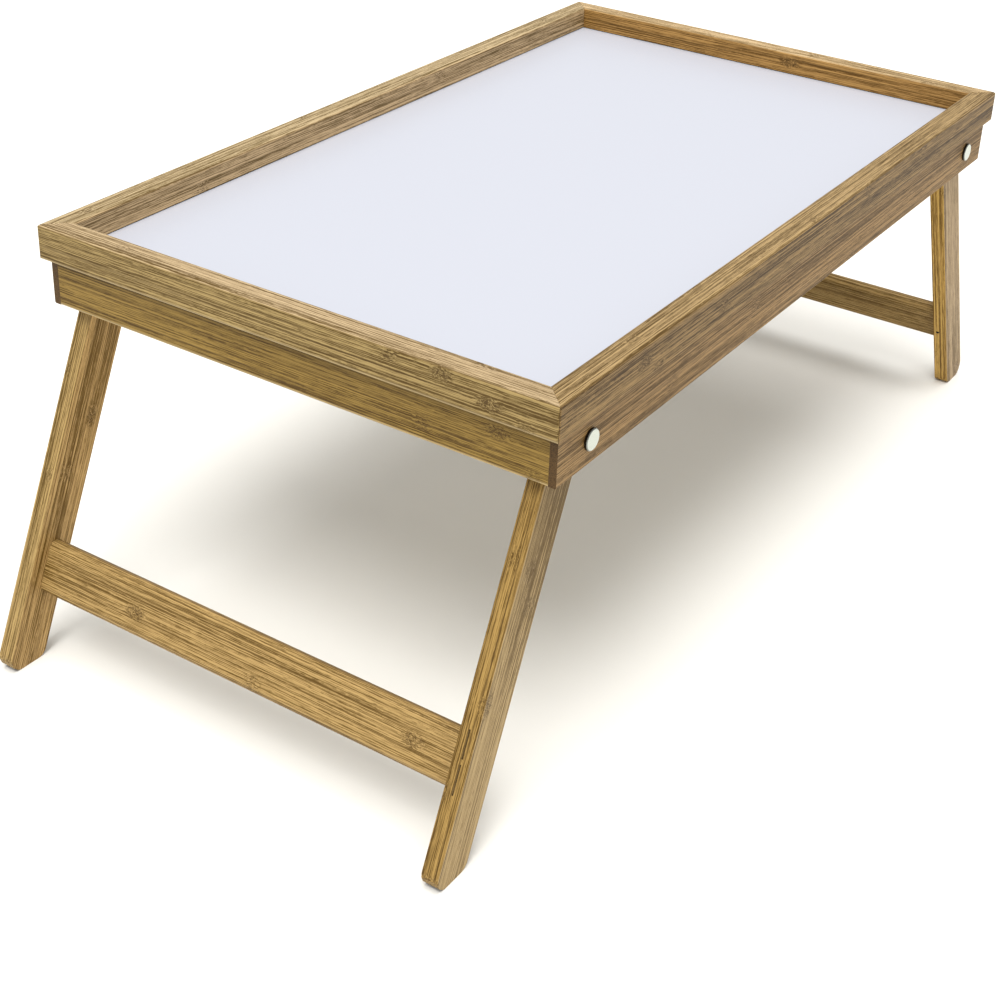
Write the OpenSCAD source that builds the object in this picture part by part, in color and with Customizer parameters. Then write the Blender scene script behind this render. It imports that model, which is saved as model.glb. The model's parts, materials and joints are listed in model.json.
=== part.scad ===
// Folding tray table: a framed tray on two leg frames that fold flat under it.
// Millimetres, +Z up, X along the tray's length. The origin is the middle of the footprint,
// on the surface that the feet stand on.

/* [Tray] */
// Outside length of the tray frame, along X
tray_l = 500; // [490:1:540]
// Outside width of the tray frame, along Y
tray_w = 300; // [240:1:360]
// Height of the rim above the surface
stand_h = 223; // [205:1:224]
// Width of an upper rail
rail_w = 13; // [12:0.5:16]
// Height of an upper rail
rail_h = 18; // [16:0.5:22]
// Depth of the board's face below the rim
board_drop = 13.5; // [11:0.5:14]
// Radius of the eased outer top edge of a rail
rail_ease = 2; // [1:0.5:3]
// Radius of the eased inner top edge of a rail
rail_inner_ease = 1.5; // [0.8:0.1:2.5]

/* [Skirt] */
// Height of a skirt board
skirt_h = 25; // [24.5:0.5:28]
// Thickness of a skirt board
skirt_t = 8; // [8:0.5:9]
// How far an end skirt is set in from the rail above it
end_recess = 5; // [4:0.5:5]
// How far a side skirt is set in from the rail above it
side_recess = 3; // [2:0.5:4]
// Width of side skirt end grain left showing past an end skirt
skirt_lip = 4; // [3:0.5:4.5]

/* [Legs] */
// Width of a leg, across its broad face
leg_w = 23; // [20:0.5:23]
// Thickness of a leg
leg_t = 9; // [8:0.5:10]
// Angle of an open leg from upright
splay = 23.5; // [18:0.5:23.5]
// Distance of a pivot from the end of the tray
pivot_in = 31.3; // [31.2:0.1:34]
// Depth of a pivot below the rim
pivot_drop = 30.5; // [30:0.5:31]
// Distance from the pivot down the leg to the middle of the crossbar
bar_down = 155; // [130:1:165]
// Height of a crossbar, along the leg
bar_h = 28; // [22:1:32]
// Thickness of a crossbar
bar_t = 9; // [8:0.5:10]
// How deep the crossbar ends sit in the legs
tenon_l = 6; // [4:0.5:6.5]

/* [Pivot hardware] */
// Diameter of the flat head outside the skirt
head_d = 10.5; // [9.5:0.5:13]
// Thickness of that head
head_t = 1.6; // [1.2:0.1:1.8]
// Outside diameter of the post that the leg turns on
post_d = 7; // [6:0.5:8]
// Gap between the skirt and the leg, kept by a spacer ring
leg_gap = 1.3; // [1:0.1:1.6]

/* [Hidden] */
$fn = 48;
eps = 0.01;
arc_steps = 6;
fit = 0.05;                  // clearance of a glued or turning fit, on the radius
face_gap = 0.1;              // clearance between faces that slide past each other

facing_t = 0.4;              // white laminate on the board's face
backing_t = 0.3;             // balancing sheet under the board
board_t = rail_h - board_drop;
rebate_w = 4;                // rebate in the rails that holds the board's edge
rebate_gap = 0.4;            // shadow gap over the board's edge
board_play = 0.5;            // room round the board inside the rebates
corner_r = 1.2;              // eased upright corners of the tray frame
arris_r = 0.8;               // lower outer edges of the rails

rail_z = stand_h - rail_h;
skirt_z = rail_z - skirt_h;
skirt_l = tray_l - 2 * end_recess;
side_y = tray_w / 2 - side_recess;
end_x = tray_l / 2 - end_recess;
end_skirt_l = 2 * (side_y - skirt_lip);

pivot_x = tray_l / 2 - pivot_in;
pivot_z = stand_h - pivot_drop;
leg_y = side_y - skirt_t - leg_gap; // outer face of a leg
leg_in_y = leg_y - leg_t;    // inner face of a leg
top_r = leg_w / 2 - 0.02;               // round top end, centred on the pivot
foot_front_r = 7;            // rounded corners of a foot
foot_back_r = 6;
bar_front = 3;               // crossbar's front face, ahead of the leg's centre line
bar_r = 4;                   // rounded long edges of a crossbar

post_bore_d = 4;
post_end = face_gap + 0.1;   // how far a post stands past the leg
post_l = skirt_t + leg_gap + leg_t + post_end;
ring_d = 14;
washer_t = 1;
screw_head_d = 9;
screw_head_t = 2.4;
screw_l = 13;
drive_w = 1.2;               // cross recess in the screw head
drive_l = 4.6;
drive_depth = 1.4;

brad_d = 1.4;
brad_l = 16;
brad_head_d = 2.4;
brad_head_t = 0.6;
dowel_d = 3;
skirt_dowel_l = 18;
skirt_dowel_x = [-200, -70, 70, 200];
skirt_dowel_y = side_y - skirt_t / 2;
mitre_dowel_l = 12;
mitre_dowel_z = rail_z + 0.62 * rail_h;

bamboo = "#c9a163";
bamboo_dark = "#b58a4c";
bamboo_pale = "#d6b47c";
steel = "#c9cbcc";

function unit(v) = v / norm(v);

// Corner i of the outline pts, rounded to radii[i] as an arc of short chords, or kept sharp at 0.
function corner_points(pts, radii, i) =
    let (
        n = len(pts),
        before = unit(pts[(i + n - 1) % n] - pts[i]),
        after = unit(pts[(i + 1) % n] - pts[i]),
        half = acos(before * after) / 2,
        r = radii[i],
        centre = pts[i] + unit(before + after) * r / sin(half),
        from = pts[i] + before * r / tan(half) - centre,
        to = pts[i] + after * r / tan(half) - centre
    )
    r == 0 ? [pts[i]] : [for (k = [0:arc_steps]) centre + r * unit(from * (arc_steps - k) + to * k)];

module rounded_outline(pts, radii) {
    polygon([for (i = [0:len(pts) - 1]) each corner_points(pts, radii, i)]);
}

module rounded_plan(l, w, r) {
    rounded_outline([[-l / 2, -w / 2], [l / 2, -w / 2], [l / 2, w / 2], [-l / 2, w / 2]], [r, r, r, r]);
}

module mirrored(axis) {
    children();
    mirror(axis) children();
}

module four_corners() {
    mirrored([1, 0, 0]) mirrored([0, 1, 0]) children();
}

// ---- tray frame ----

// Section of a rail: outer face at 0, inner face at rail_w, rebate under the inner edge.
module rail_section() {
    rounded_outline(
        [
            [0, 0],
            [rail_w - rebate_w, 0],
            [rail_w - rebate_w, board_t + rebate_gap],
            [rail_w, board_t + rebate_gap],
            [rail_w, rail_h],
            [0, rail_h]
        ],
        [arris_r, 0, 0, 0, rail_inner_ease, rail_ease]
    );
}

// A mitred rail on the -Y side, length l along X, on a frame that is w wide.
module mitred_rail(l, w) {
    intersection() {
        translate([-l / 2, -w / 2, rail_z])
            rotate([90, 0, 90])
                linear_extrude(l) rail_section();
        translate([0, -w / 2, rail_z - eps])
            linear_extrude(rail_h + 2 * eps)
                polygon([
                    [-l / 2, 0], [l / 2, 0],
                    [l / 2 - rail_w - eps, rail_w + eps], [rail_w + eps - l / 2, rail_w + eps]
                ]);
        translate([0, 0, rail_z - eps])
            linear_extrude(rail_h + 2 * eps) rounded_plan(l, w, corner_r);
    }
}

module mitre_dowel(d, l) {
    translate([(rail_w - tray_l) / 2, (rail_w - tray_w) / 2, mitre_dowel_z])
        rotate([90, 0, 45])
            cylinder(d = d, h = l, center = true);
}

module skirt_dowel_row(d) {
    for (x = skirt_dowel_x)
        translate([x, -skirt_dowel_y, rail_z - skirt_dowel_l / 2]) cylinder(d = d, h = skirt_dowel_l);
}

module side_rail() {
    difference() {
        mitred_rail(tray_l, tray_w);
        skirt_dowel_row(dowel_d);
        mirrored([1, 0, 0]) mitre_dowel(dowel_d, mitre_dowel_l);
    }
}

module end_rail() {
    difference() {
        rotate([0, 0, -90]) mitred_rail(tray_w, tray_l);
        mirrored([0, 1, 0]) mitre_dowel(dowel_d, mitre_dowel_l);
    }
}

module rail_front() { color(bamboo) side_rail(); }
module rail_back() { color(bamboo) mirror([0, 1, 0]) side_rail(); }
module rail_left() { color(bamboo_pale) end_rail(); }
module rail_right() { color(bamboo_pale) mirror([1, 0, 0]) end_rail(); }

// A side skirt on the -Y side, rebated at both ends for the end skirts and bored for the posts.
module side_skirt() {
    difference() {
        translate([-skirt_l / 2, -side_y, skirt_z]) cube([skirt_l, skirt_t, skirt_h]);
        mirrored([1, 0, 0])
            translate([-skirt_l / 2 - eps, skirt_lip - side_y, skirt_z - eps])
                cube([skirt_t + eps, skirt_t, skirt_h + 2 * eps]);
        mirrored([1, 0, 0])
            translate([-pivot_x, eps - side_y + skirt_t, pivot_z])
                rotate([90, 0, 0]) cylinder(d = post_d + 2 * fit, h = skirt_t + 2 * eps);
        skirt_dowel_row(dowel_d);
    }
}

module end_skirt() {
    translate([-end_x, -end_skirt_l / 2, skirt_z]) cube([skirt_t, end_skirt_l, skirt_h]);
}

module skirt_front() { color(bamboo_dark) side_skirt(); }
module skirt_back() { color(bamboo_dark) mirror([0, 1, 0]) side_skirt(); }
module skirt_left() { color(bamboo) end_skirt(); }
module skirt_right() { color(bamboo) mirror([1, 0, 0]) end_skirt(); }

module skirt_dowels() { color(bamboo_pale) mirrored([0, 1, 0]) skirt_dowel_row(dowel_d); }
module mitre_dowels() { color(bamboo_pale) four_corners() mitre_dowel(dowel_d, mitre_dowel_l); }

// ---- board: it lies on the skirts, with its edges in the rails' rebates ----

module board_sheet(z, t) {
    inset = rail_w - rebate_w + board_play;
    translate([inset - tray_l / 2, inset - tray_w / 2, z])
        cube([tray_l - 2 * inset, tray_w - 2 * inset, t]);
}

module board_backing() { color("#e9e6df") board_sheet(rail_z, backing_t); }
module board_core() {
    color("#b59a72") board_sheet(rail_z + backing_t, board_t - facing_t - backing_t);
}
module board_facing() { color("#eef0f6") board_sheet(rail_z + board_t - facing_t, facing_t); }

// ---- pivots: a post through skirt, spacer and leg, closed by a washer and a screw ----

module at_pivots() {
    four_corners() translate([-pivot_x, -side_y, pivot_z]) rotate([-90, 0, 0]) children();
}

// Head and tube of one post, along +Z from the skirt's outer face.
module pivot_posts() {
    rim = 0.4;
    color(steel) at_pivots()
        rotate_extrude()
            polygon([
                [0, -head_t], [head_d / 2 - rim, -head_t], [head_d / 2, rim - head_t], [head_d / 2, 0],
                [post_d / 2, 0], [post_d / 2, post_l], [post_bore_d / 2 + fit, post_l],
                [post_bore_d / 2 + fit, post_l - screw_l - 1], [0, post_l - screw_l - 1]
            ]);
}

module pivot_spacers() {
    color(steel) at_pivots()
        translate([0, 0, skirt_t + face_gap / 2])
            difference() {
                cylinder(d = ring_d, h = leg_gap - 2 * face_gap);
                translate([0, 0, -eps]) cylinder(d = post_d + 2 * fit, h = leg_gap);
            }
}

module pivot_washers() {
    color(steel) at_pivots()
        translate([0, 0, post_l])
            difference() {
                cylinder(d = ring_d, h = washer_t);
                translate([0, 0, -eps]) cylinder(d = post_bore_d + 2 * fit, h = washer_t + 2 * eps);
            }
}

module pivot_screws() {
    dome_w = 2 * screw_head_t;
    color(steel) at_pivots()
        translate([0, 0, post_l + washer_t])
            difference() {
                union() {
                    translate([0, 0, -screw_l]) cylinder(d = post_bore_d, h = screw_l + eps);
                    cylinder(d = screw_head_d, h = screw_head_t * 0.55);
                    translate([0, 0, screw_head_t * 0.55 - eps])
                        cylinder(d1 = screw_head_d, d2 = dome_w, h = screw_head_t * 0.45);
                }
                for (turn = [0, 90])
                    rotate([0, 0, turn])
                        translate([-drive_l / 2, -drive_w / 2, screw_head_t - drive_depth])
                            cube([drive_l, drive_w, drive_depth + 1]);
            }
}

// ---- leg frames, drawn for the -X end ----

// Point on the left leg frame in the XZ plane: u down the leg from the pivot, v towards its front.
function leg_point(u, v) = [
    -pivot_x - u * sin(splay) - v * cos(splay),
    pivot_z - u * cos(splay) + v * sin(splay)
];
// Distance down the leg at which its edge v meets the surface.
function foot_u(v) = (pivot_z + v * sin(splay)) / cos(splay);

// Extrudes an XZ outline from y = from to y = to.
module along_y(from, to) {
    translate([0, to, 0]) rotate([90, 0, 0]) linear_extrude(to - from) children();
}

module leg_outline() {
    half = leg_w / 2;
    rounded_outline(
        [
            leg_point(-half, half), leg_point(-half, -half),
            leg_point(foot_u(-half), -half), leg_point(foot_u(half), half)
        ],
        [top_r, top_r, foot_back_r, foot_front_r]
    );
}

module bar_outline(grow) {
    back = bar_front - bar_t - grow;
    top = bar_down - bar_h / 2 - grow;
    bottom = bar_down + bar_h / 2 + grow;
    r = bar_r + grow;
    rounded_outline(
        [
            leg_point(top, bar_front + grow), leg_point(top, back),
            leg_point(bottom, back), leg_point(bottom, bar_front + grow)
        ],
        [r, r, r, r]
    );
}

// Places children on a brad's axis in the front leg: +Z runs out of the leg's back edge.
module at_brad() {
    spot = leg_point(bar_down, -leg_w / 2);
    translate([spot[0], -leg_in_y - tenon_l / 2, spot[1]])
        rotate([0, 90 - splay, 0]) rotate([0, 0, 90]) children();
}

module brad(grow) {
    translate([0, 0, -brad_l]) cylinder(d = brad_d + 2 * grow, h = brad_l);
    translate([0, 0, -brad_head_t]) cylinder(d = brad_head_d + 2 * grow, h = brad_head_t + grow);
}

module leg() {
    difference() {
        along_y(-leg_y, -leg_in_y) leg_outline();
        along_y(-leg_in_y - tenon_l - fit, 1 - leg_in_y) bar_outline(fit);
        translate([-pivot_x, 1 - leg_in_y, pivot_z])
            rotate([90, 0, 0]) cylinder(d = post_d + 2 * fit, h = leg_t + 2);
        at_brad() brad(fit / 5);
    }
}

module crossbar() {
    difference() {
        along_y(-leg_in_y - tenon_l, leg_in_y + tenon_l) bar_outline(0);
        mirrored([0, 1, 0]) at_brad() brad(fit / 5);
    }
}

module leg_left_front() { color(bamboo) leg(); }
module leg_left_back() { color(bamboo) mirror([0, 1, 0]) leg(); }
module crossbar_left() { color(bamboo_dark) crossbar(); }
module brads_left() { color(steel) mirrored([0, 1, 0]) at_brad() brad(0); }
module leg_right_front() { color(bamboo) mirror([1, 0, 0]) leg(); }
module leg_right_back() { color(bamboo) mirror([1, 0, 0]) mirror([0, 1, 0]) leg(); }
module crossbar_right() { color(bamboo_dark) mirror([1, 0, 0]) crossbar(); }
module brads_right() { color(steel) mirror([1, 0, 0]) mirrored([0, 1, 0]) at_brad() brad(0); }

rail_front();
rail_back();
rail_left();
rail_right();
skirt_front();
skirt_back();
skirt_left();
skirt_right();
board_core();
board_facing();
board_backing();
skirt_dowels();
mitre_dowels();
pivot_posts();
pivot_spacers();
pivot_washers();
pivot_screws();
leg_left_front();
leg_left_back();
crossbar_left();
brads_left();
leg_right_front();
leg_right_back();
crossbar_right();
brads_right();
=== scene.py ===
"""A folding tray table of laminated bamboo: a mitred tray frame with a white board, on two leg frames
that turn on steel posts and fold flat under it. The sections follow the order of putting it together.
Metres; +Z up, X along the tray."""

import json
import math

import bmesh
import bpy
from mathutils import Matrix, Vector

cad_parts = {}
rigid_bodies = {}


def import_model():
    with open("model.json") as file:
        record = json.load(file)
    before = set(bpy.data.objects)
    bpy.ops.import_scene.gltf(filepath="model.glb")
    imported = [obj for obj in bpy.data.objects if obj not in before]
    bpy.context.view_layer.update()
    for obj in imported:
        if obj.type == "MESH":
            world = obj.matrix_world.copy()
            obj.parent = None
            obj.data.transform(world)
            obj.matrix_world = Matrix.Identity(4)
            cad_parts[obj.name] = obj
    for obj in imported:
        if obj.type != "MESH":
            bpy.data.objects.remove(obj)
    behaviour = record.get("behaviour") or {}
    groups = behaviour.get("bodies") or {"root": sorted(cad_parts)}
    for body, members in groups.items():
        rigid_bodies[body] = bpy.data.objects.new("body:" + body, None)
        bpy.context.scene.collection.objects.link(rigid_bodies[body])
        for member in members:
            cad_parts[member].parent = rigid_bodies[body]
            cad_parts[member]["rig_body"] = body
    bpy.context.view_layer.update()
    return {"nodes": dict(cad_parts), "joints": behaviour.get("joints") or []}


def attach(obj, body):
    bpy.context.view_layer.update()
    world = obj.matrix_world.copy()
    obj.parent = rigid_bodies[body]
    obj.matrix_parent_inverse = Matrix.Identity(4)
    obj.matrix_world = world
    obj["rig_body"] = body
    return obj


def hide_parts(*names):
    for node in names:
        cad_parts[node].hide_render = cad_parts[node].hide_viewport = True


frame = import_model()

nodes = frame["nodes"]
MM = 0.001

# ---------------------------------------------------------------------------------------------
# Camera: a long lens at one corner of the tray, above it and turned a little over its own axis.
# ---------------------------------------------------------------------------------------------
lens = bpy.data.cameras.new("corner_camera")
lens.lens = 64.7
lens.shift_y = -0.132
camera = bpy.data.objects.new("corner_camera", lens)
camera.location = (-0.7984, -0.4744, 0.5725)
camera.rotation_euler = [math.radians(turn) for turn in (62.354, -1.946, -56.139)]
bpy.context.scene.collection.objects.link(camera)
bpy.context.scene.camera = camera

# ---------------------------------------------------------------------------------------------
# Laminated bamboo, the stock that every wooden piece is planed from: culm strips a few millimetres
# thick, glued side by side, sanded and given a clear satin lacquer. It shows straight dark fibres,
# strips of slightly different tone with hairline glue joints, knuckles, and dotted end grain.
# ---------------------------------------------------------------------------------------------


def linear(hex_colour):
    """An sRGB hex colour as linear red, green, blue and an alpha of 1."""
    parts = [int(hex_colour[i:i + 2], 16) / 255 for i in (1, 3, 5)]
    return [p / 12.92 if p <= 0.04045 else ((p + 0.055) / 1.055) ** 2.4 for p in parts] + [1]


def add(tree, kind, inputs=None, **settings):
    """Adds a node with its settings. An input is a value, or the socket that feeds it."""
    made = tree.nodes.new(kind)
    for name, value in settings.items():
        setattr(made, name, value)
    for name, value in (inputs or {}).items():
        if isinstance(value, bpy.types.NodeSocket):
            tree.links.new(value, made.inputs[name])
        else:
            made.inputs[name].default_value = value
    return made


def new_material(name):
    """A material with an empty tree, and the shader and output that it ends in."""
    made = bpy.data.materials.new(name)
    made.use_nodes = True
    made.node_tree.nodes.clear()
    shader = add(made.node_tree, "ShaderNodeBsdfPrincipled")
    add(made.node_tree, "ShaderNodeOutputMaterial", {"Surface": shader.outputs["BSDF"]})
    return made, made.node_tree, shader


def bamboo(name, turn, strip, face, edge, origin=(0, 0, 0), knuckles=(), drift=(0, 200, 0, 0),
           edge_highlight_z=-1000, shade_under_z=1000, seed=0.0):
    """turn: Euler degrees that bring the grain to X; origin: mm added after it. strip: width of a
    lamination along the turned Y and Z, in mm. face, edge: the dark fibres' and the pale ground's
    colour on sides across the turned Y, and across the turned Z. knuckles: places, in turned mm.
    drift: two places along the grain, and what the tone of the Y sides gains at each.
    worn: the turned Z of a lower edge, above which a pale band is painted: a painted highlight of the arris
    catching light. pooled: the turned Z of the inner corner under a rail, below which the wood is painted
    darker: painted shade, standing for the shadow that the rail casts."""
    made, tree, shader = new_material(name)
    place = add(tree, "ShaderNodeTexCoord")
    turned = [math.radians(t) for t in turn]
    grain = add(tree, "ShaderNodeMapping", {
        "Vector": place.outputs["Object"], "Scale": (1000, 1000, 1000), "Rotation": turned,
        "Location": origin})
    faced = add(tree, "ShaderNodeMapping", {"Vector": place.outputs["Normal"], "Rotation": turned})
    along = add(tree, "ShaderNodeSeparateXYZ", {"Vector": grain.outputs[0]})
    normal_parts = add(tree, "ShaderNodeSeparateXYZ", {"Vector": faced.outputs[0]})

    # Which strip a point is in, and a few random numbers that belong to that strip.
    cells = add(tree, "ShaderNodeVectorMath", {0: grain.outputs[0], 1: (0, 1 / strip[0], 1 / strip[1])},
                operation="MULTIPLY")
    index = add(tree, "ShaderNodeVectorMath", {0: cells.outputs[0]}, operation="FLOOR")
    seeded = add(tree, "ShaderNodeVectorMath", {0: index.outputs[0], 1: (seed, seed * 1.7, 0)},
                 operation="ADD")
    of_strip = add(tree, "ShaderNodeTexWhiteNoise", {"Vector": seeded.outputs[0]}, noise_dimensions="3D")
    strip_random = add(tree, "ShaderNodeSeparateColor", {"Color": of_strip.outputs["Color"]})

    # Knuckles: one every so many mm somewhere in each strip, and those named by the caller.
    spacing = 420
    steps = add(tree, "ShaderNodeMath", {0: along.outputs["X"], 1: 1 / spacing}, operation="MULTIPLY")
    shifted = add(tree, "ShaderNodeMath", {0: steps.outputs[0], 1: strip_random.outputs["Red"]},
                  operation="ADD")
    wrapped = add(tree, "ShaderNodeMath", {0: shifted.outputs[0]}, operation="FRACT")
    centred = add(tree, "ShaderNodeMath", {0: wrapped.outputs[0], 1: 0.5}, operation="SUBTRACT")
    away = add(tree, "ShaderNodeMath", {0: centred.outputs[0]}, operation="ABSOLUTE")
    near_knuckle = add(tree, "ShaderNodeMapRange", {
        "Value": away.outputs[0], "From Min": 7 / spacing, "From Max": 1 / spacing, "To Min": 0,
        "To Max": 0.5}, interpolation_type="SMOOTHSTEP")
    for spot in knuckles:
        offset = add(tree, "ShaderNodeVectorMath", {0: grain.outputs[0], 1: spot}, operation="SUBTRACT")
        sized = add(tree, "ShaderNodeVectorMath", {0: offset.outputs[0], 1: (1 / 9, 1 / 5, 1 / 5)},
                    operation="MULTIPLY")
        reach = add(tree, "ShaderNodeVectorMath", {0: sized.outputs[0]}, operation="LENGTH")
        this_one = add(tree, "ShaderNodeMapRange", {
            "Value": reach.outputs["Value"], "From Min": 1.0, "From Max": 0.3, "To Min": 0, "To Max": 1},
            interpolation_type="SMOOTHSTEP")
        near_knuckle = add(tree, "ShaderNodeMath", {0: near_knuckle.outputs[0], 1: this_one.outputs[0]},
                           operation="MAXIMUM")

    # Fibres wander by a fraction of a millimetre everywhere and by a few round a knuckle.
    swirl = add(tree, "ShaderNodeTexNoise", {"Vector": grain.outputs[0], "Scale": 0.3, "Detail": 2})
    swirl_centred = add(tree, "ShaderNodeVectorMath", {0: swirl.outputs["Color"], 1: (0.5, 0.5, 0.5)},
                        operation="SUBTRACT")
    swirl_size = add(tree, "ShaderNodeMath", {0: near_knuckle.outputs[0], 1: 3.5, 2: 0.3},
                     operation="MULTIPLY_ADD")
    swirl_push = add(tree, "ShaderNodeVectorMath", {
        0: swirl_centred.outputs[0], "Scale": swirl_size.outputs[0]}, operation="SCALE")
    strip_shift = add(tree, "ShaderNodeVectorMath", {0: of_strip.outputs["Color"], "Scale": 900},
                      operation="SCALE")
    bent = add(tree, "ShaderNodeVectorMath", {0: grain.outputs[0], 1: swirl_push.outputs[0]},
               operation="ADD")
    own = add(tree, "ShaderNodeVectorMath", {0: bent.outputs[0], 1: strip_shift.outputs[0]}, operation="ADD")

    # Fibre bundles are about 0.4 mm across and run for tens of millimetres; they are drawn 0.5 mm
    # wide, so that they show from a metre away. Short flecks lie between them, and the ground
    # between the bundles changes slowly across a strip.
    bundles = add(tree, "ShaderNodeMapping", {"Vector": own.outputs[0], "Scale": (0.008, 2.0, 2.0)})
    bundle_noise = add(tree, "ShaderNodeTexNoise", {
        "Vector": bundles.outputs[0], "Scale": 1, "Detail": 2, "Roughness": 0.55})
    flecks = add(tree, "ShaderNodeMapping", {"Vector": own.outputs[0], "Scale": (0.09, 3.0, 3.0)})
    fleck_noise = add(tree, "ShaderNodeTexNoise", {
        "Vector": flecks.outputs[0], "Scale": 1, "Detail": 2, "Roughness": 0.5})
    broad = add(tree, "ShaderNodeMapping", {"Vector": own.outputs[0], "Scale": (0.007, 0.3, 0.3)})
    broad_noise = add(tree, "ShaderNodeTexNoise", {"Vector": broad.outputs[0], "Scale": 1, "Detail": 1})
    fibre = add(tree, "ShaderNodeMix", {
        "Factor": 0.36, "A": bundle_noise.outputs["Fac"], "B": fleck_noise.outputs["Fac"]},
        data_type="FLOAT")
    contrast = add(tree, "ShaderNodeMapRange", {
        "Value": fibre.outputs[0], "From Min": 0.43, "From Max": 0.57}, clamp=False)
    strip_tone = add(tree, "ShaderNodeMapRange", {
        "Value": strip_random.outputs["Green"], "To Min": -0.13, "To Max": 0.13})
    broad_tone = add(tree, "ShaderNodeMapRange", {
        "Value": broad_noise.outputs["Fac"], "From Min": 0.3, "From Max": 0.7, "To Min": -0.14,
        "To Max": 0.14})
    drift_tone = add(tree, "ShaderNodeMapRange", {
        "Value": along.outputs["X"], "From Min": drift[0], "From Max": drift[1], "To Min": drift[2],
        "To Max": drift[3]}, interpolation_type="SMOOTHSTEP")
    level = contrast
    for tone in (strip_tone, broad_tone):
        level = add(tree, "ShaderNodeMath", {0: level.outputs[0], 1: tone.outputs[0]}, operation="ADD")
    drifted = add(tree, "ShaderNodeMath", {0: level.outputs[0], 1: drift_tone.outputs[0]}, operation="ADD")
    for tone in (level, drifted):
        tone.use_clamp = True

    # Ground and fibre colours, which differ between the two pairs of sides of a strip.
    on_face = add(tree, "ShaderNodeMix", {
        "Factor": drifted.outputs[0], "A": linear(face[0]), "B": linear(face[1])}, data_type="RGBA")
    on_edge = add(tree, "ShaderNodeMix", {
        "Factor": level.outputs[0], "A": linear(edge[0]), "B": linear(edge[1])}, data_type="RGBA")
    upright = add(tree, "ShaderNodeMath", {0: normal_parts.outputs["Z"]}, operation="ABSOLUTE")
    edge_share = add(tree, "ShaderNodeMapRange", {
        "Value": upright.outputs[0], "From Min": 0.5, "From Max": 0.8}, interpolation_type="SMOOTHSTEP")
    ground = add(tree, "ShaderNodeMix", {
        "Factor": edge_share.outputs[0], "A": on_face.outputs["Result"], "B": on_edge.outputs["Result"]},
        data_type="RGBA")

    # Painted highlight: a pale band within a millimetre of the lower edge, standing for the arris catching
    # light.
    painted_edge_highlight = add(tree, "ShaderNodeMapRange", {
        "Value": along.outputs["Z"], "From Min": edge_highlight_z + 1.6, "From Max": edge_highlight_z + 0.6, "To Max": 0.55})
    with_painted_edge_highlight = add(tree, "ShaderNodeMix", {
        "Factor": painted_edge_highlight.outputs[0], "A": ground.outputs["Result"], "B": linear("#c9b386")},
        data_type="RGBA")

    # Now and then a bundle is nearly black for its whole length.
    veins = add(tree, "ShaderNodeMapping", {"Vector": own.outputs[0], "Scale": (0.006, 1.9, 1.9)})
    vein_noise = add(tree, "ShaderNodeTexNoise", {"Vector": veins.outputs[0], "Scale": 1, "Detail": 0})
    vein = add(tree, "ShaderNodeMapRange", {
        "Value": vein_noise.outputs["Fac"], "From Min": 0.66, "From Max": 0.73, "To Max": 0.45})
    with_veins = add(tree, "ShaderNodeMix", {
        "Factor": vein.outputs[0], "A": with_painted_edge_highlight.outputs["Result"], "B": linear("#4d3a1e")},
        data_type="RGBA")

    # Knuckle: cross-grain flecks and a darker band.
    mottle = add(tree, "ShaderNodeTexNoise", {
        "Vector": bent.outputs[0], "Scale": 1.1, "Detail": 2, "Roughness": 0.6})
    mottle_marks = add(tree, "ShaderNodeMapRange", {
        "Value": mottle.outputs["Fac"], "From Min": 0.46, "From Max": 0.58, "To Min": 0.15, "To Max": 0.8})
    knuckle_shown = add(tree, "ShaderNodeMath", {0: near_knuckle.outputs[0], 1: mottle_marks.outputs[0]},
                        operation="MULTIPLY")
    with_knuckles = add(tree, "ShaderNodeMix", {
        "Factor": knuckle_shown.outputs[0], "A": with_veins.outputs["Result"], "B": linear("#473213")},
        data_type="RGBA")

    # Hairline glue joints between strips.
    joint_at = add(tree, "ShaderNodeVectorMath", {0: cells.outputs[0]}, operation="FRACTION")
    joint_centred = add(tree, "ShaderNodeVectorMath", {0: joint_at.outputs[0], 1: (0.5, 0.5, 0.5)},
                        operation="SUBTRACT")
    joint_away = add(tree, "ShaderNodeVectorMath", {0: joint_centred.outputs[0]}, operation="ABSOLUTE")
    joint_mm = add(tree, "ShaderNodeVectorMath", {0: joint_away.outputs[0], 1: (0, strip[0], strip[1])},
                   operation="MULTIPLY")
    joint_parts = add(tree, "ShaderNodeSeparateXYZ", {"Vector": joint_mm.outputs[0]})
    joint_lines = [add(tree, "ShaderNodeMapRange", {
        "Value": joint_parts.outputs[axis], "From Min": width / 2 - 0.25, "From Max": width / 2,
        "To Max": 0.55}) for axis, width in (("Y", strip[0]), ("Z", strip[1]))]
    joint_line = add(tree, "ShaderNodeMath", {0: joint_lines[0].outputs[0], 1: joint_lines[1].outputs[0]},
                     operation="MAXIMUM")
    with_joints = add(tree, "ShaderNodeMix", {
        "Factor": joint_line.outputs[0], "A": with_knuckles.outputs["Result"], "B": linear("#59421f")},
        data_type="RGBA")

    # Painted shade under a rail: the wood is darkened for a few millimetres below the rail, most of all at
    # the corner, standing for the shadow that the rail casts.
    painted_under_rail_shade = add(tree, "ShaderNodeMapRange", {
        "Value": along.outputs["Z"], "From Min": shade_under_z - 6, "From Max": shade_under_z - 1, "To Max": 0.6},
        interpolation_type="SMOOTHSTEP")
    with_painted_under_rail_shade = add(tree, "ShaderNodeMix", {
        "Factor": painted_under_rail_shade.outputs[0], "A": with_joints.outputs["Result"], "B": linear("#37270f")},
        data_type="RGBA")

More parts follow.
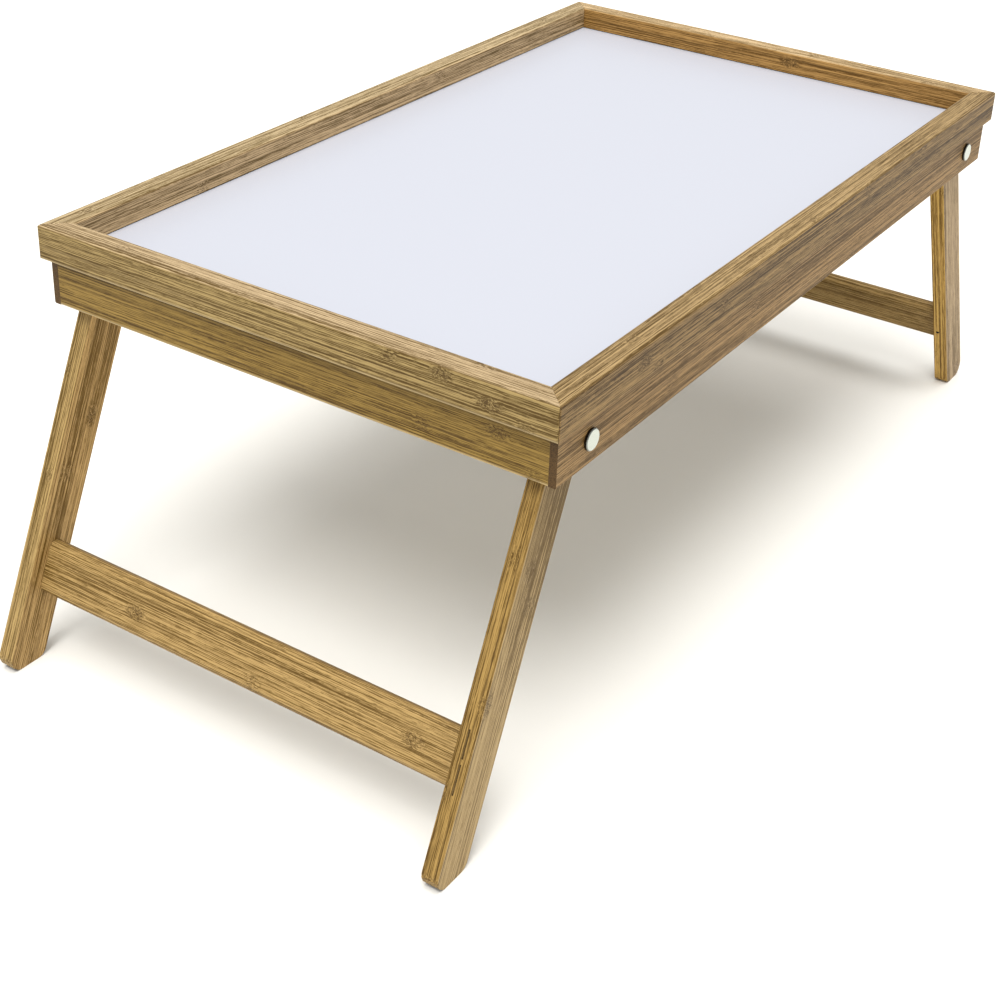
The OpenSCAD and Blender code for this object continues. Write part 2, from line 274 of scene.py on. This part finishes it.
    # End grain, where the surface crosses the fibres: darker, with the bundles as dots.
    crossing = add(tree, "ShaderNodeMath", {0: normal_parts.outputs["X"]}, operation="ABSOLUTE")
    end_share = add(tree, "ShaderNodeMapRange", {
        "Value": crossing.outputs[0], "From Min": 0.75, "From Max": 0.95, "To Max": 0.9})
    dots = add(tree, "ShaderNodeTexVoronoi", {"Vector": grain.outputs[0], "Scale": 1.4})
    dot_ramp = add(tree, "ShaderNodeValToRGB", {"Fac": dots.outputs["Distance"]})
    for stop, (position, tone) in zip(
            dot_ramp.color_ramp.elements, ((0.12, "#1c1206"), (0.5, "#4a3418"))):
        stop.position, stop.color = position, linear(tone)
    colour = add(tree, "ShaderNodeMix", {
        "Factor": end_share.outputs[0], "A": with_painted_under_rail_shade.outputs["Result"], "B": dot_ramp.outputs["Color"]},
        data_type="RGBA")

    grooves = add(tree, "ShaderNodeBump", {"Strength": 0.4, "Distance": 0.0002, "Height": fibre.outputs[0]})
    sheen = add(tree, "ShaderNodeMapRange", {"Value": fibre.outputs[0], "To Min": 0.65, "To Max": 0.42})
    tree.links.new(colour.outputs["Result"], shader.inputs["Base Color"])
    tree.links.new(sheen.outputs[0], shader.inputs["Roughness"])
    tree.links.new(grooves.outputs[0], shader.inputs["Normal"])
    shader.inputs["IOR"].default_value = 1.42
    shader.inputs["Specular IOR Level"].default_value = 0.25
    shader.inputs["Coat Weight"].default_value = 0.02
    shader.inputs["Coat Roughness"].default_value = 0.35
    return made


GRAIN_X = (0, 0, 0)
GRAIN_Y = (0, 0, -90)


def put_on(piece, material):
    """Gives a piece this one material."""
    piece.data.materials.clear()
    piece.data.materials.append(material)


# ---------------------------------------------------------------------------------------------
# Tray frame: four rails, 13 by 18 mm, mitred and dowelled at the corners. A rebate under the inner
# edge holds the board.
# ---------------------------------------------------------------------------------------------


def eased_copy(node, name, rounds):
    """A copy of a CAD node which stands for it. rounds: pairs of a radius and a function that picks
    the sharp edges rounded to it. Narrow facets are shaded as one curve."""
    source = nodes[node]
    made = bmesh.new()
    made.from_mesh(source.data)
    bmesh.ops.remove_doubles(made, verts=made.verts, dist=1e-6)
    bmesh.ops.dissolve_limit(made, angle_limit=math.radians(0.5), verts=made.verts, edges=made.edges)
    for radius, picks in rounds:
        made.normal_update()
        sharp = [e for e in made.edges if len(e.link_faces) == 2 and e.calc_face_angle() > math.radians(40)]
        bmesh.ops.bevel(
            made, geom=[e for e in sharp if picks(e)], offset=radius, offset_type="OFFSET", segments=4,
            profile=0.5, affect="EDGES", material=-1, clamp_overlap=True)
    for part in made.faces:
        part.smooth = part.calc_area() / max(e.calc_length() for e in part.edges) < 1.3 * MM
    for edge in made.edges:
        edge.smooth = len(edge.link_faces) == 2 and edge.calc_face_angle() < math.radians(32)
    mesh = bpy.data.meshes.new(name)
    made.to_mesh(mesh)
    made.free()
    piece = bpy.data.objects.new(name, mesh)
    bpy.context.scene.collection.objects.link(piece)
    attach(piece, source["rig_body"])
    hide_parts(node)
    return piece


def round_mitre(edge):
    """The outline of a mitre, whose face lies at 45 degrees; easing it leaves a hairline groove."""
    mitres = [abs(abs(part.normal.x) - 0.7071) < 0.01 and abs(part.normal.z) < 0.01
              for part in edge.link_faces]
    return any(mitres) and not all(mitres)


board_top = max(corner.co.z for corner in nodes["board_facing"].data.vertices)


def over_board(edge):
    """The lower inner edge of a rail, just above the board, where easing it leaves a dark line."""
    return edge.is_convex and all(abs(end.co.z - board_top) < 0.1 * MM for end in edge.verts) and any(
        abs(part.normal.z) < 0.01 for part in edge.link_faces) and edge.calc_length() > 0.2


rail_strip = (4.4, 6)
for name, stock in (
        ("rail_front", bamboo(
            "laminated bamboo, front rail", GRAIN_X, rail_strip, ("#3c280a", "#947749"),
            ("#4c3712", "#a0865b"), knuckles=[(-180, -150, 214), (60, -150, 219)], seed=3)),
        # The back rail's tones are paler than the other rails': painted light, standing for the light that
        # its inner face catches.
        ("rail_back", bamboo(
            "laminated bamboo, back rail", GRAIN_X, rail_strip, ("#66502a", "#ccae83"),
            ("#5b471d", "#b8a27c"), seed=21)),
        # The end rails below get a painted highlight along their lower edge.
        ("rail_left", bamboo(
            "laminated bamboo, left rail", GRAIN_Y, rail_strip, ("#503b12", "#a58d5a"),
            ("#56411a", "#b59d78"), knuckles=[(-91, 250, 219), (-116, 250, 212)],
            drift=(-150, -20, -0.08, 0), edge_highlight_z=205, seed=5)),
        ("rail_right", bamboo(
            "laminated bamboo, right rail", GRAIN_Y, rail_strip, ("#5b3d0f", "#b1874b"),
            ("#624a1e", "#caae83"), knuckles=[(-18, -237, 217)], edge_highlight_z=205, seed=6))):
    rounds = [(0.8 * MM, over_board), (0.2 * MM, round_mitre)]
    put_on(eased_copy(name, name + "_rail", rounds), stock)

# ---------------------------------------------------------------------------------------------
# Skirt boards, 8 by 25 mm, glued and dowelled under the rails. The end boards sit in rebates in the
# side boards, whose end grain shows as a narrow strip at each corner.
# ---------------------------------------------------------------------------------------------
skirt_strip = (8.2, 8.4)
side_skirt_bamboo = bamboo(
    "laminated bamboo, side skirts", GRAIN_X, skirt_strip, ("#503810", "#9e7d4e"), ("#503810", "#9e7d4e"),
    seed=8)
# The end skirts carry a painted highlight along their lower edge and painted shade just under the rails.
end_skirt_bamboo = bamboo(
    "laminated bamboo, end skirts", GRAIN_Y, skirt_strip, ("#4a340a", "#927639"), ("#4a340a", "#927639"),
    knuckles=[(-117, 245, 197)], edge_highlight_z=180, shade_under_z=205, seed=9)


def along_skirt(edge):
    """The long edges of a skirt board."""
    return edge.calc_length() > 0.1


for name, stock in (("skirt_front", side_skirt_bamboo), ("skirt_back", side_skirt_bamboo),
                    ("skirt_left", end_skirt_bamboo), ("skirt_right", end_skirt_bamboo)):
    put_on(eased_copy(name, name + "_board", [(0.6 * MM, along_skirt)]), stock)

dowel_bamboo = bamboo(
    "turned bamboo, dowels", GRAIN_X, (5, 5), ("#7c6440", "#c2ab80"), ("#7c6440", "#c2ab80"), seed=2)
for name in ("skirt_dowels", "mitre_dowels"):
    put_on(nodes[name], dowel_bamboo)

# ---------------------------------------------------------------------------------------------
# Board: fibreboard faced with white melamine, backed with a thin balancing sheet.
# ---------------------------------------------------------------------------------------------
melamine, tree, shader = new_material("white melamine")
place = add(tree, "ShaderNodeTexCoord")
pebble = add(tree, "ShaderNodeTexNoise", {"Vector": place.outputs["Object"], "Scale": 900, "Detail": 2})
pressed = add(tree, "ShaderNodeBump", {
    "Strength": 0.08, "Distance": 0.0001, "Height": pebble.outputs["Fac"]})
tree.links.new(pressed.outputs[0], shader.inputs["Normal"])
shader.inputs["Base Color"].default_value = linear("#afb1b9")
shader.inputs["Roughness"].default_value = 0.35
put_on(nodes["board_facing"], melamine)

fibreboard, tree, shader = new_material("fibreboard")
place = add(tree, "ShaderNodeTexCoord")
chips = add(tree, "ShaderNodeTexNoise", {"Vector": place.outputs["Object"], "Scale": 700, "Detail": 4})
tint = add(tree, "ShaderNodeMix", {
    "Factor": chips.outputs["Fac"], "A": linear("#8f6f4a"), "B": linear("#b0916a")}, data_type="RGBA")
tree.links.new(tint.outputs["Result"], shader.inputs["Base Color"])
shader.inputs["Roughness"].default_value = 0.9
put_on(nodes["board_core"], fibreboard)

backing, tree, shader = new_material("balancing paper")
place = add(tree, "ShaderNodeTexCoord")
pulp = add(tree, "ShaderNodeTexNoise", {"Vector": place.outputs["Object"], "Scale": 400, "Detail": 5})
tint = add(tree, "ShaderNodeMix", {
    "Factor": pulp.outputs["Fac"], "A": linear("#cfcac0"), "B": linear("#e2ded5")}, data_type="RGBA")
tree.links.new(tint.outputs["Result"], shader.inputs["Base Color"])
shader.inputs["Roughness"].default_value = 0.7
put_on(nodes["board_backing"], backing)

# ---------------------------------------------------------------------------------------------
# Pivots: nickel-plated binding posts through the side skirts and the legs.
# ---------------------------------------------------------------------------------------------
nickel, tree, shader = new_material("nickel-plated steel")
place = add(tree, "ShaderNodeTexCoord")
haze = add(tree, "ShaderNodeTexNoise", {"Vector": place.outputs["Object"], "Scale": 300, "Detail": 3})
gloss = add(tree, "ShaderNodeMapRange", {"Value": haze.outputs["Fac"], "To Min": 0.15, "To Max": 0.35})
tree.links.new(gloss.outputs[0], shader.inputs["Roughness"])
# Every side that does not face along the post, such as the rim round a head, is painted dark: a painted dark
# reflection. Only the flat faces show the plating's own pale colour.
turned_rim = add(tree, "ShaderNodeSeparateXYZ", {"Vector": place.outputs["Normal"]})
flatness = add(tree, "ShaderNodeMath", {0: turned_rim.outputs["Y"]}, operation="ABSOLUTE")
brightness = add(tree, "ShaderNodeMapRange", {
    "Value": flatness.outputs[0], "From Min": 0.6, "From Max": 0.9})
plating_with_painted_rim = add(tree, "ShaderNodeMix", {
    "Factor": brightness.outputs[0], "A": linear("#3d3c39"), "B": linear("#c3c8bf")}, data_type="RGBA")
tree.links.new(plating_with_painted_rim.outputs["Result"], shader.inputs["Base Color"])
shader.inputs["Metallic"].default_value = 1.0
for name in ("pivot_posts", "pivot_spacers", "pivot_washers", "pivot_screws", "brads_left", "brads_right"):
    put_on(nodes[name], nickel)

# ---------------------------------------------------------------------------------------------
# Leg frames: two legs, 23 by 9 mm, and a crossbar let into their inner faces, at each end.
# ---------------------------------------------------------------------------------------------
splay = 23.5
pivot = {joint["name"]: joint for joint in frame["joints"]}
leg_strip = (4.5, 7.7)


def along_leg(edge):
    """The edges round a leg's two broad faces, and not those of its mortise and bore."""
    flats = [abs(face.normal.y) > 0.9 for face in edge.link_faces]
    middle = (edge.verts[0].co + edge.verts[1].co) / 2
    return any(flats) and not all(flats) and outer_edge(edge, middle)


def outer_edge(edge, middle):
    """True if the side face at this edge looks away from the leg's centre line."""
    side = [face for face in edge.link_faces if abs(face.normal.y) <= 0.9][0]
    start = Vector((math.copysign(joint_x, middle.x), 0, joint_z))
    run = Vector((math.copysign(math.sin(math.radians(splay)), middle.x), 0, -math.cos(math.radians(splay))))
    out = middle - start
    down = max(0, min(out.dot(run), leg_reach))
    outward = out - run * down
    outward.y = 0
    return outward.length > 0.008 and outward.dot(side.normal) > 0


joint_x, joint_z = abs(pivot["left_leg_fold"]["pos_m"][0]), pivot["left_leg_fold"]["pos_m"][2]
leg_reach = joint_z / math.cos(math.radians(splay)) - 0.012

# Where the pivot comes to lie once the grain has been turned to X: down the leg and across it.
turned_down = 1000 * (joint_x * math.sin(math.radians(splay)) - joint_z * math.cos(math.radians(splay)))
turned_across = 1000 * (joint_x * math.cos(math.radians(splay)) + joint_z * math.sin(math.radians(splay)))


for node, edge_tones, face_tones, knuckles, drift, seed in (
        ("leg_left_front", ("#50380d", "#9d7e45"), ("#5c451a", "#b2986a"), [(124, -137, -9)],
         (40, 150, -0.3, 0.3), 11),
        ("leg_left_back", ("#553f13", "#a88c58"), ("#644918", "#c29f67"), [(75, 130, 5)],
         (0, 200, 0, 0), 12),
        ("leg_right_front", ("#694b14", "#cba459"), ("#5f481e", "#b89e79"), [], (0, 200, 0, 0), 15),
        ("leg_right_back", ("#533c12", "#a28653"), ("#5c4417", "#b29663"), [], (0, 200, 0, 0), 16)):
    left = node.startswith("leg_left")
    lean = -90 - splay if left else 90 + splay
    stock = bamboo(
        "laminated bamboo, " + node.replace("_", " "), (0, lean, 0), leg_strip, face_tones, edge_tones,
        origin=(-turned_down if left else turned_down, 0, turned_across), knuckles=knuckles, drift=drift,
        seed=seed)
    put_on(eased_copy(node, node + "_bar", [(2.0 * MM, along_leg)]), stock)

# A glue joint has opened along the front edge of one leg: a slit 1 mm wide and 2.5 mm deep, in two
# runs either side of a sound spot.
slit_sides = (-0.1339, -0.1329)
slit_runs = ((136, 150), (152.5, 167))
slit_depth = 2.5 * MM
leg = bpy.data.objects["leg_left_front_bar"]
opened = bmesh.new()
opened.from_mesh(leg.data)
opened.faces.ensure_lookup_table()
down_leg = Vector((-math.sin(math.radians(splay)), 0, -math.cos(math.radians(splay))))
out_front = Vector((-math.cos(math.radians(splay)), 0, math.sin(math.radians(splay))))
pivot_point = Vector((-joint_x, 0, joint_z))


def front_parts():
    """The faces that make up the leg's narrow front face."""
    facing = [part for part in opened.faces if part.normal.dot(out_front) > 0.999]
    return [part for part in facing if (part.calc_center_median() - pivot_point).dot(out_front) > 0.011]


for spot, across in [((0, side, 0), (0, 1, 0)) for side in slit_sides] + [
        (pivot_point + down_leg * end * MM, down_leg) for run in slit_runs for end in run]:
    opened.normal_update()
    parts = front_parts()
    edges = {edge for part in parts for edge in part.edges}
    corners = {corner for part in parts for corner in part.verts}
    bmesh.ops.bisect_plane(
        opened, geom=[*edges, *corners, *parts], dist=1e-7, plane_co=spot, plane_no=across)
opened.normal_update()
slits = []
for part in front_parts():
    centre = part.calc_center_median()
    down = (centre - pivot_point).dot(down_leg) / MM
    if slit_sides[0] < centre.y < slit_sides[1] and any(start < down < end for start, end in slit_runs):
        slits.append(part)
pushed = bmesh.ops.extrude_face_region(opened, geom=slits)
bmesh.ops.translate(opened, vec=-out_front * slit_depth,
                    verts=[v for v in pushed["geom"] if isinstance(v, bmesh.types.BMVert)])
bmesh.ops.delete(opened, geom=slits, context="FACES_ONLY")
opened.to_mesh(leg.data)
opened.free()

# A crossbar's lower edge, mm down the leg from the pivot; its grain is measured up from there.
bar_edge = 169
bar_tones = ("#584014", "#ab8d58")
for end, knuckles in (("left", [(66, 12, -3), (-103, 14, -3)]), ("right", [])):
    lean = -90 - splay if end == "left" else 90 + splay
    stock = bamboo(
        "laminated bamboo, " + end + " crossbar", (0, lean, -90), (9.33, 9), bar_tones, bar_tones,
        origin=(0, bar_edge + turned_down if end == "left" else bar_edge - turned_down, turned_across),
        knuckles=knuckles, seed=14)
    put_on(nodes["crossbar_" + end], stock)

# ---------------------------------------------------------------------------------------------
# Studio: a white paper sweep in pale surroundings, under a wide diffuser overhead and a smaller
# softbox from the left.
# ---------------------------------------------------------------------------------------------
bpy.ops.mesh.primitive_plane_add(size=40, location=(0, 0, 0))
floor = bpy.context.object
floor.name = "floor"
paper, tree, shader = new_material("white paper sweep")
shader.inputs["Base Color"].default_value = linear("#e0ded8")
shader.inputs["Roughness"].default_value = 0.8
put_on(floor, paper)

world = bpy.data.worlds.new("studio")
world.use_nodes = True
world.node_tree.nodes["Background"].inputs["Color"].default_value = (1, 1, 1, 1)
world.node_tree.nodes["Background"].inputs["Strength"].default_value = 0.64
bpy.context.scene.world = world
bpy.context.scene.view_settings.view_transform = "Standard"

for name, energy, width, comes_from in (
        ("overhead_diffuser", 2.1, 50, (-0.02, -0.10, 1)), ("left_softbox", 2.3, 28, (-0.55, -0.16, 1))):
    light = bpy.data.lights.new(name, "SUN")
    light.energy = energy
    light.angle = math.radians(width)
    lamp = bpy.data.objects.new(name, light)
    lamp.rotation_euler = Vector(comes_from).to_track_quat("Z", "Y").to_euler()
    bpy.context.scene.collection.objects.link(lamp)
